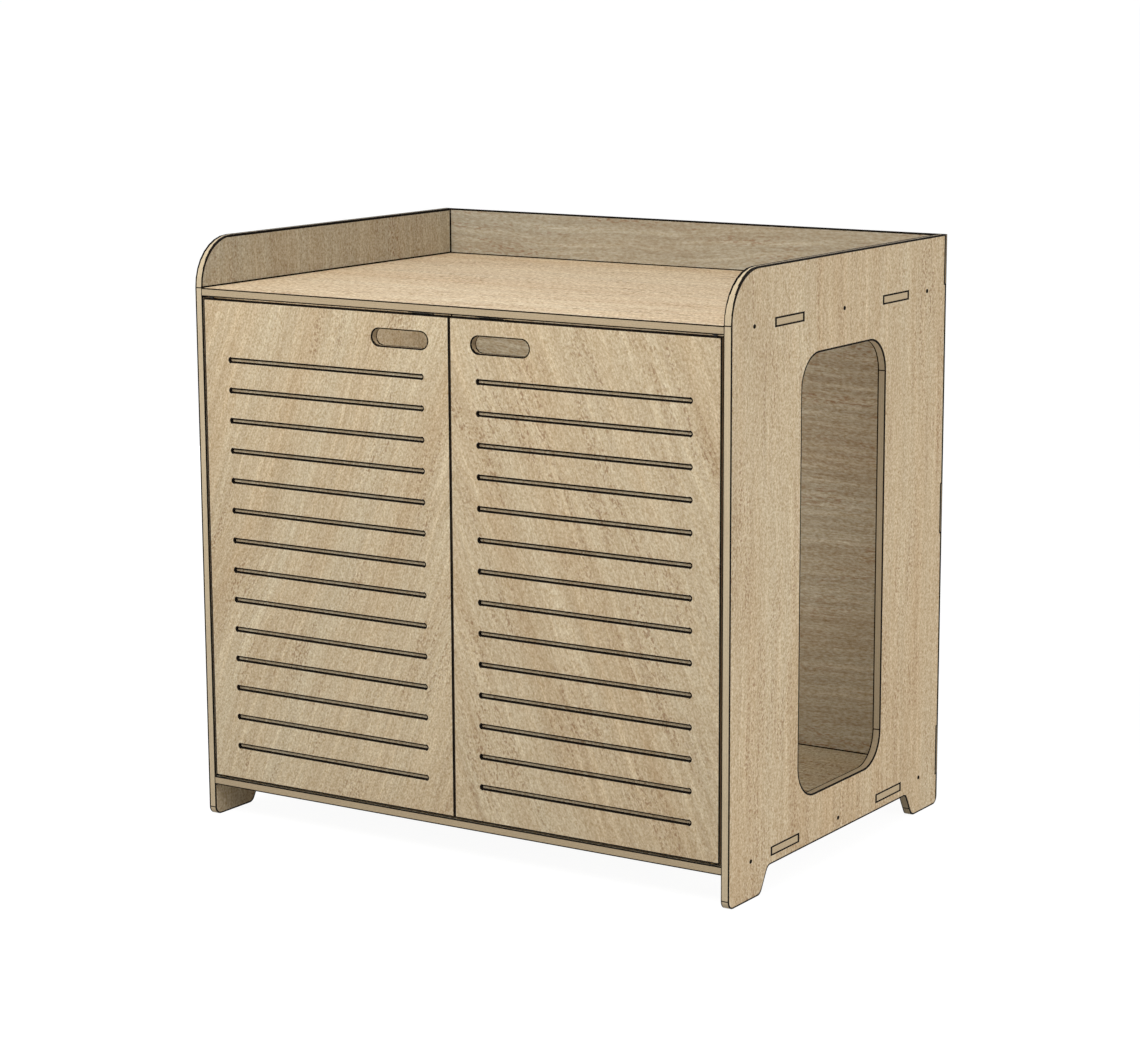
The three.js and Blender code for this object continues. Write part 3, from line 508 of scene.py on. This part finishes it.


def veneer(name, settings, grain, normal, look, lines):
    """Plain-sliced veneer with its grain along one direction of the face.

    lines gives, from the shader, where the face is scorched.
    """
    shader = new_material(name)
    place = shader.position()
    x, y, z = shader.split(place)

    # Places along and across the grain, which sways by about a centimetre
    u = shader.along(place, grain) + look.seed
    straight = shader.along(place, normal.cross(grain))
    sway = shader.noise(shader.combine(u * 2.2, straight * 3.0)) - 0.5
    v = straight + sway * 0.05

    # Broad figure, whose numbers are features per metre along and across the grain
    bands = shader.noise(shader.combine(u * 1.1, v * 16.0, look.seed), 3.0, 0.55) - 0.5
    streaks = shader.noise(shader.combine(u * 4.0, v * 105.0, look.seed), 3.0, 0.6) - 0.5
    rows = shader.noise(shader.combine(u * 7.0, v * 120.0, look.seed * 2), 2.0, 0.5)
    patches = shader.noise(shader.combine(u * 5.0, v * 16.0, look.seed * 2), 2.0, 0.5)

    # Fine figure, whose numbers are features per pore along and across the grain
    fine_u, fine_v = (along / size for along, size in zip((u, v), look.pore))
    fibres = shader.noise(shader.combine(fine_u * 0.22, fine_v), 2.0, 0.6) - 0.5
    mottle = shader.noise(shader.combine(fine_u, fine_v, look.seed), 2.0, 0.7) - 0.5
    dashes = shader.noise(shader.combine(fine_u * 0.7, fine_v * 0.8, look.seed * 3), 1.0, 0.4)

    warmth = bands * 1.3 - streaks * (0.8 * look.figure) + 0.5
    tone = shader.mix(warmth.least(1).most(0), tuple(settings.pale), tuple(settings.warm))
    tint = tuple(look.tint)
    # The inner tint paints shade on the inner face: darker and cooler than the outer one.
    if look.inner is not None:
        tint = shader.mix(look.inner(x, y, z), tint, tuple(look.inner_shade_tint))
    tone = shader.mix(1.0, tone, tint, "MULTIPLY")
    contrast = look.contrast
    if look.lip_contrast is not None:
        on_lip = z.rise(TOP_SURFACE_Z - LIP_RADIUS, TOP_SURFACE_Z)
        contrast = contrast + on_lip * (look.lip_contrast - contrast)
    striped = streaks * 0.55 + streaks.rise(0.02, 0.22) * 0.07
    tone = shader.shade(tone, striped * look.figure - bands * 0.1)
    tone = shader.shade(tone, (fibres * 0.4 + mottle * 1.1) * contrast, FLECK_SPREAD)

    # Flecks lie in rows, and the rows in patches
    fleck = dashes.rise(0.50, 0.64) * rows.rise(0.40, 0.60) * patches.rise(0.40, 0.62)
    tone = shader.mix(fleck * 0.55, tone, tuple(settings.fleck))
    scorched = lines(shader)
    tone = shader.mix(scorched, tone, tuple(settings.scorch))

    return shader.surface(
        Base_Color=tone,
        Roughness=settings.roughness + streaks * 0.12 + fleck * 0.1 + scorched * 0.2,
        Normal=shader.bump(fibres * 0.6 + mottle * 0.5 - fleck * 0.8, 0.00012),
        IOR=1.45,
        Specular_IOR_Level=settings.sheen,
    )


def cut_edge(name, settings, normal, board, pale, line, marks=None, level_from=0.0):
    """Cut through the plies, which lie across the normal of the panel.

    pale is the colour of the paler plies. line is the scorch's width along the arrises, or
    works it out from the place, and grows to that of the lip where the edge faces up above
    the height level_from. marks says where else the edge takes the scorch colour: more
    scorch, and painted shade on the entry's wall and the doors' top edges.
    """
    shader = new_material(name)
    place = shader.position()
    x, y, z = shader.split(place)
    low, high = (corner.dot(normal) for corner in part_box(board))
    depth = shader.along(place, normal) - low
    ply = abs((depth / (2 * settings.ply)).fraction() - 0.5).rise(0.22, 0.28)
    run = x + y + z  # goes along any edge

    # Grain of the cut, whose numbers are features per metre along the edge and across the plies
    fine = shader.noise(shader.combine(run * 260, depth * 900), 3.0, 0.6) - 0.5
    broad = shader.noise(shader.combine(run * 12, depth * 80)) - 0.5
    darker = (ply * 0.22 + broad * 0.6).most(0)
    tone = shader.mix(darker, tuple(pale), tuple(settings.glue))
    tone = shader.shade(tone, fine * 0.7)

    facing = shader.node("ShaderNodeNewGeometry", output="Normal")
    level = shader.split(facing)[2].most(0) * (z > level_from)
    line = line(x, y, z) if callable(line) else line
    width = line + level * level * (settings.lip_line - line)
    scorched = depth.least((high - low) - depth) < width
    # marks add more scorch colour: on the entry's wall and the doors' top edges it is painted shade
    if marks:
        scorched = scorched.most(marks(shader, x, y, z))
    tone = shader.mix(scorched, tone, tuple(settings.scorch))
    return shader.surface(
        Base_Color=tone,
        Roughness=settings.roughness + ply * 0.08 + scorched * 0.2,
        Normal=shader.bump(fine, 0.00008),
        Specular_IOR_Level=settings.sheen,
    )


def finish_board(name, normal, face, cut):
    """Gives a board its veneer on the faces across its normal, and cut plies elsewhere."""
    mesh = NODES[name].data
    mesh.materials.clear()
    mesh.materials.append(face)
    mesh.materials.append(cut)
    for polygon in mesh.polygons:
        flat = abs(polygon.normal.dot(normal)) > FLAT
        polygon.material_index = FACE if flat else CUT


class CABINET_OT_side_panels(bpy.types.Operator):
    """Finish the two side panels, which also make the feet and the lip"""

    bl_idname = "cabinet.side_panels"
    bl_label = "Side panels"

    def execute(self, context):
        settings = context.scene.cabinet_plywood
        half = settings.line / 2

        def marks(shader, x, y, z):
            """Painted shade on the wall of the entry, and marks where a straight run meets a
            corner.
            """
            entry_corner = ENTRY_HALF_HEIGHT - ENTRY_RADIUS
            at_corner = abs(abs(z - INSIDE_MIDDLE_Z) - entry_corner) < half
            at_lip = abs(z - (CASE_HIGH.z - LIP_RADIUS)) < half
            at_foot = abs(z - FOOT_RADIUS) < half
            # the wall of the entry takes a share of the scorch colour as painted shade
            wall = (ENTRY_WALL_SHADE + at_corner).least(1)
            return (in_entry(y, z, half) * wall).most(at_lip.most(at_foot))

        # painted shade: the inner face above the bottom panel takes the darker, cooler inner tint
        def left_inner(x, y, z):
            return (x > -SIDE_MIDDLE_X) * (z > UNDERFLOOR_Z)

        def line(x, y, z):
            """The left rim and the entry's inner arris are scorched wider than the others."""
            inner_arris = in_entry(y, z, half) * (x < SIDE_MIDDLE_X + half)
            left_rim = x < -SIDE_MIDDLE_X
            return settings.line * (0.8 + inner_arris * 0.4 + left_rim * 0.6)

        for seed, side, inner in ((2.3, "left", left_inner), (3.3, "right", None)):
            name = f"{side}_side_panel"
            face = veneer(
                f"{side}_side_veneer", settings, Z_AXIS, X_AXIS,
                Look(
                    seed=seed, tint=settings.side_tint, figure=0.6, contrast=1.45,
                    pore=(0.0036, 0.0032), inner_shade_tint=settings.left_shade_tint, inner=inner,
                ),
                lambda shader: side_lines(shader, settings, side),
            )
            cut = cut_edge(
                f"{side}_side_cut", settings, X_AXIS, name, settings.rim, line, marks, TOP_SURFACE_Z
            )
            finish_board(name, X_AXIS, face, cut)
        return {"FINISHED"}


class CABINET_OT_shelves(bpy.types.Operator):
    """Finish the top panel and the bottom panel"""

    bl_idname = "cabinet.shelves"
    bl_label = "Top and bottom panels"

    def execute(self, context):
        settings = context.scene.cabinet_plywood
        for seed, place, tint in (
            (5.1, "top", settings.top_tint),
            # the bottom panel's tint is painted shade for the inside of the case
            (6.1, "bottom", settings.bottom_shade_tint),
        ):
            name = f"{place}_panel"
            face = veneer(
                f"{place}_veneer", settings, X_AXIS, Z_AXIS,
                Look(seed=seed, tint=tint, figure=0.6, contrast=1.8, pore=(0.0045, 0.0070)),
                lambda shader: shelf_lines(shader, settings),
            )
            cut = cut_edge(f"{place}_cut", settings, Z_AXIS, name, settings.cut, settings.line)
            finish_board(name, Z_AXIS, face, cut)
        return {"FINISHED"}


class CABINET_OT_back_panel(bpy.types.Operator):
    """Finish the back panel"""

    bl_idname = "cabinet.back_panel"
    bl_label = "Back panel"

    def execute(self, context):
        settings = context.scene.cabinet_plywood
        face = veneer(
            "back_veneer", settings, X_AXIS, Y_AXIS,
            Look(
                seed=8.7, tint=settings.side_tint, figure=1.1, contrast=1.45,
                pore=(0.0075, 0.0027), lip_contrast=1.0, inner_shade_tint=settings.back_shade_tint,
                # the inner face takes the back's inner tint, which is painted shade
                inner=lambda x, y, z: y < BACK_MIDDLE_Y,
            ),
            lambda shader: back_lines(shader, settings),
        )
        cut = cut_edge(
            "back_cut", settings, Y_AXIS, "back_panel", settings.cut, settings.line * 1.5
        )
        finish_board("back_panel", Y_AXIS, face, cut)
        return {"FINISHED"}


class CABINET_OT_doors(bpy.types.Operator):
    """Finish the two doors, whose veneer leans towards the middle"""

    bl_idname = "cabinet.doors"
    bl_label = "Doors"

    def execute(self, context):
        settings = context.scene.cabinet_plywood
        for side, lean in (("left", settings.door_lean), ("right", -settings.door_lean)):
            name = f"{side}_door_panel"
            plan = DoorPlan(side)
            top = plan.centre.z + plan.half.z

            def marks(shader, x, y, z):
                """The narrow walls of the grooves are scorched all over. The top edge, seen only in
                the gap under the top panel, is dark all over: scorch along its arrises and painted
                shade between them.
                """
                in_groove = plan.outside_groove(shader, x, z) < settings.line / 2
                # the top edge takes the scorch colour all over, partly as painted shade of the gap
                return in_groove.most(z > top - settings.line / 2)

            grain = Vector((math.sin(lean), 0, math.cos(lean)))
            face = veneer(
                f"{side}_door_veneer", settings, grain, Y_AXIS,
                Look(
                    seed=11.9 + math.sin(lean), tint=settings.door_tint, figure=0.75,
                    contrast=1.3, pore=(0.0034, 0.0026),
                ),
                lambda shader: door_lines(shader, settings, plan),
            )
            cut = cut_edge(
                f"{side}_door_cut", settings, Y_AXIS, name, settings.cut, settings.line, marks
            )
            finish_board(name, Y_AXIS, face, cut)
        return {"FINISHED"}


# ---- Hardware ------------------------------------------------------------------------------
MOULDED_TEXTURE = 0.0007  # size of the texture of moulded pieces
SAME_POINT = 1e-6  # corners nearer than this are one
SHARP = math.radians(60)  # edges that turn by more are rounded


def metal(name, tint, roughness, grain):
    """Metal with fine, slightly uneven polish, whose grain has that size."""
    shader = new_material(name)
    wear = shader.noise_of_size(grain, 4.0, 0.6)
    return shader.surface(
        Base_Color=shader.shade(tuple(tint), wear * 0.3 - 0.15),
        Metallic=1.0,
        Roughness=roughness + (wear - 0.5) * 0.25,
        Normal=shader.bump(wear, 0.00002),
    )


def moulded(name, tint, roughness):
    """Moulded plastic or sintered ferrite with a fine texture."""
    shader = new_material(name)
    texture = shader.noise_of_size(MOULDED_TEXTURE, 3.0)
    return shader.surface(
        Base_Color=shader.shade(tuple(tint), texture * 0.12 - 0.06),
        Roughness=roughness + (texture - 0.5) * 0.1,
        Normal=shader.bump(texture, 0.00003),
    )


def finish_small(words, material, edge):
    """Gives the small pieces with one of the words in their names one finish and soft edges."""
    for name in sorted(NODES):
        if not any(word in name for word in words):
            continue
        piece = NODES[name]
        mesh = piece.data
        mesh.materials.clear()
        mesh.materials.append(material)
        if "custom_normal" in mesh.attributes:
            mesh.attributes.remove(mesh.attributes["custom_normal"])
        piece.modifiers.new("weld", "WELD").merge_threshold = SAME_POINT
        bevel = piece.modifiers.new("edges", "BEVEL")
        bevel.width = edge
        bevel.segments = 2
        bevel.limit_method = "ANGLE"
        bevel.angle_limit = SHARP
        piece.modifiers.new("shade", "WEIGHTED_NORMAL").weight = 100
        for polygon in mesh.polygons:
            polygon.use_smooth = True


class CABINET_OT_panel_pins(bpy.types.Operator):
    """Finish the lost-head pins that hold the panels together"""

    bl_idname = "cabinet.panel_pins"
    bl_label = "Panel pins"

    def execute(self, context):
        settings = context.scene.cabinet_hardware
        material = metal("pin_steel", settings.pin, 0.5, 0.0011)
        finish_small(("side_pin_", "back_pin_"), material, settings.edge)
        return {"FINISHED"}


class CABINET_OT_pivots(bpy.types.Operator):
    """Finish the pivot pins, bushes and washers that the doors turn on"""

    bl_idname = "cabinet.pivots"
    bl_label = "Door pivots"

    def execute(self, context):
        settings = context.scene.cabinet_hardware
        # The pivot pins and bushes are made dark as painted shade of the gaps round the doors,
        # where they sit.
        steel = metal("pivot_steel", settings.steel, 0.3, 0.0008)
        brass = metal("washer_brass", settings.brass, 0.38, 0.0008)
        nylon = moulded("bush_nylon", settings.nylon, 0.45)
        finish_small(("pivot_pin",), steel, settings.edge)
        finish_small(("thrust_washer",), brass, settings.edge)
        finish_small(("pivot_bush",), nylon, settings.edge)
        return {"FINISHED"}


class CABINET_OT_catches(bpy.types.Operator):
    """Finish the magnetic catches, their strike plates and screws"""

    bl_idname = "cabinet.catches"
    bl_label = "Magnetic catches"

    def execute(self, context):
        settings = context.scene.cabinet_hardware
        plastic = moulded("catch_plastic", settings.catch, 0.5)
        ferrite = moulded("magnet_ferrite", settings.magnet, 0.6)
        zinc = metal("zinc_plate", settings.zinc, 0.36, 0.0014)
        finish_small(("catch_body",), plastic, settings.edge)
        finish_small(("catch_magnet",), ferrite, settings.edge)
        finish_small(("catch_screw", "strike_"), zinc, settings.edge)
        return {"FINISHED"}


# ---- Studio --------------------------------------------------------------------------------
FLOOR_GLOW = 0.94  # with what light the floor throws back, it comes to white
WHITE = (1, 1, 1)


def seen_white(shader):
    """1 for rays that show the background: those of the camera, mirrors and glass."""
    camera, glossy, through = (
        shader.node("ShaderNodeLightPath", output=f"Is {ray} Ray")
        for ray in ("Camera", "Glossy", "Transmission")
    )
    return camera.most(glossy).most(through)


class CABINET_OT_studio(bpy.types.Operator):
    """Set up the pale floor, the soft lights and the camera"""

    bl_idname = "cabinet.studio"
    bl_label = "Studio"

    def execute(self, context):
        settings = context.scene.cabinet_studio
        self.add_floor(context, settings)
        self.add_sky(context, settings)
        middle = Vector((0, 0, INSIDE_MIDDLE_Z))
        right_side = Vector((CASE_HIGH.x, 0, INSIDE_MIDDLE_Z))
        behind_doors = Vector((-0.14, FRONT_Y + 0.035, INSIDE_MIDDLE_Z + 0.05))
        for name, watts, size, place, target in (
            ("key_lamp", settings.key, (1.6, 1.6), Vector((-0.15, -2.0, 2.6)), middle),
            ("side_lamp", settings.side, (1.8, 0.9), Vector((3.2, 0.2, 0.45)), right_side),
            ("rear_lamp", settings.rear, (1.8, 0.7), Vector((-2.6, 2.8, 0.4)), middle),
            ("inside_lamp", settings.inside, (0.6, 0.5), behind_doors, behind_doors + Y_AXIS),
        ):
            self.add_lamp(context, name, watts, size, place, target)
        self.add_camera(context, settings)
        context.scene.view_settings.view_transform = "Standard"
        return {"FINISHED"}

    def add_floor(self, context, settings):
        """Adds the floor, which is white to the eye and still shows the object's shadow."""
        half = settings.floor_size / 2
        under = -0.0003  # just below the feet
        mesh = bpy.data.meshes.new("floor")
        corners = [(x * half, y * half, under) for x, y in ((-1, -1), (1, -1), (1, 1), (-1, 1))]
        mesh.from_pydata(corners, [], [(0, 1, 2, 3)])
        floor = bpy.data.objects.new("floor", mesh)
        context.scene.collection.objects.link(floor)
        shader = new_material("floor")
        matte, faint = (
            shader.node("ShaderNodeBsdfDiffuse", sockets={"Color": (level, level, level)})
            for level in (settings.floor, settings.shadow)
        )
        light = {"Color": WHITE, "Strength": FLOOR_GLOW}
        glow = shader.node("ShaderNodeEmission", sockets=light)
        lifted = shader.node("ShaderNodeAddShader", sockets={0: faint, 1: glow})
        parts = {0: seen_white(shader), 1: matte, 2: lifted}
        mesh.materials.append(shader.end(shader.node("ShaderNodeMixShader", sockets=parts)))

    def add_sky(self, context, settings):
        """Adds an even sky, which is white where it is seen and dimmer where it lights."""
        world = bpy.data.worlds.new("sky")
        context.scene.world = world
        sky = Shader(world)
        white = seen_white(sky)
        strength = white + (1 - white) * settings.sky
        light = sky.node("ShaderNodeBackground", sockets={"Color": WHITE, "Strength": strength})
        sky.end(light, "ShaderNodeOutputWorld")

    def add_lamp(self, context, name, watts, size, place, target):
        """Adds a soft lamp that points at the target and isn't seen itself."""
        data = bpy.data.lights.new(name, "AREA")
        data.shape = "RECTANGLE"
        data.size, data.size_y = size
        data.energy = watts
        lamp = bpy.data.objects.new(name, data)
        lamp.location = place
        lamp.rotation_euler = (target - place).to_track_quat("-Z", "Y").to_euler()
        lamp.visible_camera = False
        context.scene.collection.objects.link(lamp)

    def add_camera(self, context, settings):
        """Adds the camera, which looks along its azimuth and elevation."""
        data = bpy.data.cameras.new("camera")
        data.lens = settings.focal
        data.shift_x, data.shift_y = CAMERA_SHIFT
        data.clip_end = 2 * settings.floor_size
        camera = bpy.data.objects.new("camera", data)
        camera.location = CAMERA_PLACE
        back = Vector((
            math.sin(settings.azimuth) * math.cos(settings.elevation),
            -math.cos(settings.azimuth) * math.cos(settings.elevation),
            math.sin(settings.elevation),
        ))
        camera.rotation_euler = (-back).to_track_quat("-Z", "Y").to_euler()
        context.scene.collection.objects.link(camera)
        context.scene.camera = camera


# ---- Add-on --------------------------------------------------------------------------------
OPERATORS = (
    CABINET_OT_side_panels,
    CABINET_OT_shelves,
    CABINET_OT_back_panel,
    CABINET_OT_doors,
    CABINET_OT_panel_pins,
    CABINET_OT_pivots,
    CABINET_OT_catches,
    CABINET_OT_studio,
)


class CABINET_PT_sidebar(bpy.types.Panel):
    """Lists the steps that finish the cabinet"""

    bl_idname = "CABINET_PT_sidebar"
    bl_label = "Litter box cabinet"
    bl_space_type = "VIEW_3D"
    bl_region_type = "UI"
    bl_category = "Cabinet"

    def draw(self, context):
        for group in (
            context.scene.cabinet_plywood,
            context.scene.cabinet_hardware,
            context.scene.cabinet_studio,
        ):
            box = self.layout.box()
            for name in group.bl_rna.properties.keys():
                if name not in ("rna_type", "name"):
                    box.prop(group, name)
        for operator in OPERATORS:
            self.layout.operator(operator.bl_idname)


GROUPS = {
    "cabinet_plywood": PlywoodSettings,
    "cabinet_hardware": HardwareSettings,
    "cabinet_studio": StudioSettings,
}
CLASSES = (*GROUPS.values(), *OPERATORS, CABINET_PT_sidebar)


def register():
    for item in CLASSES:
        bpy.utils.register_class(item)
    for name, group in GROUPS.items():
        setattr(bpy.types.Scene, name, bpy.props.PointerProperty(type=group))


def unregister():
    for name in GROUPS:
        delattr(bpy.types.Scene, name)
    for item in reversed(CLASSES):
        bpy.utils.unregister_class(item)


def main():
    register()
    for operator in OPERATORS:
        group, action = operator.bl_idname.split(".")
        getattr(getattr(bpy.ops, group), action)()


if __name__ == "__main__":
    main()
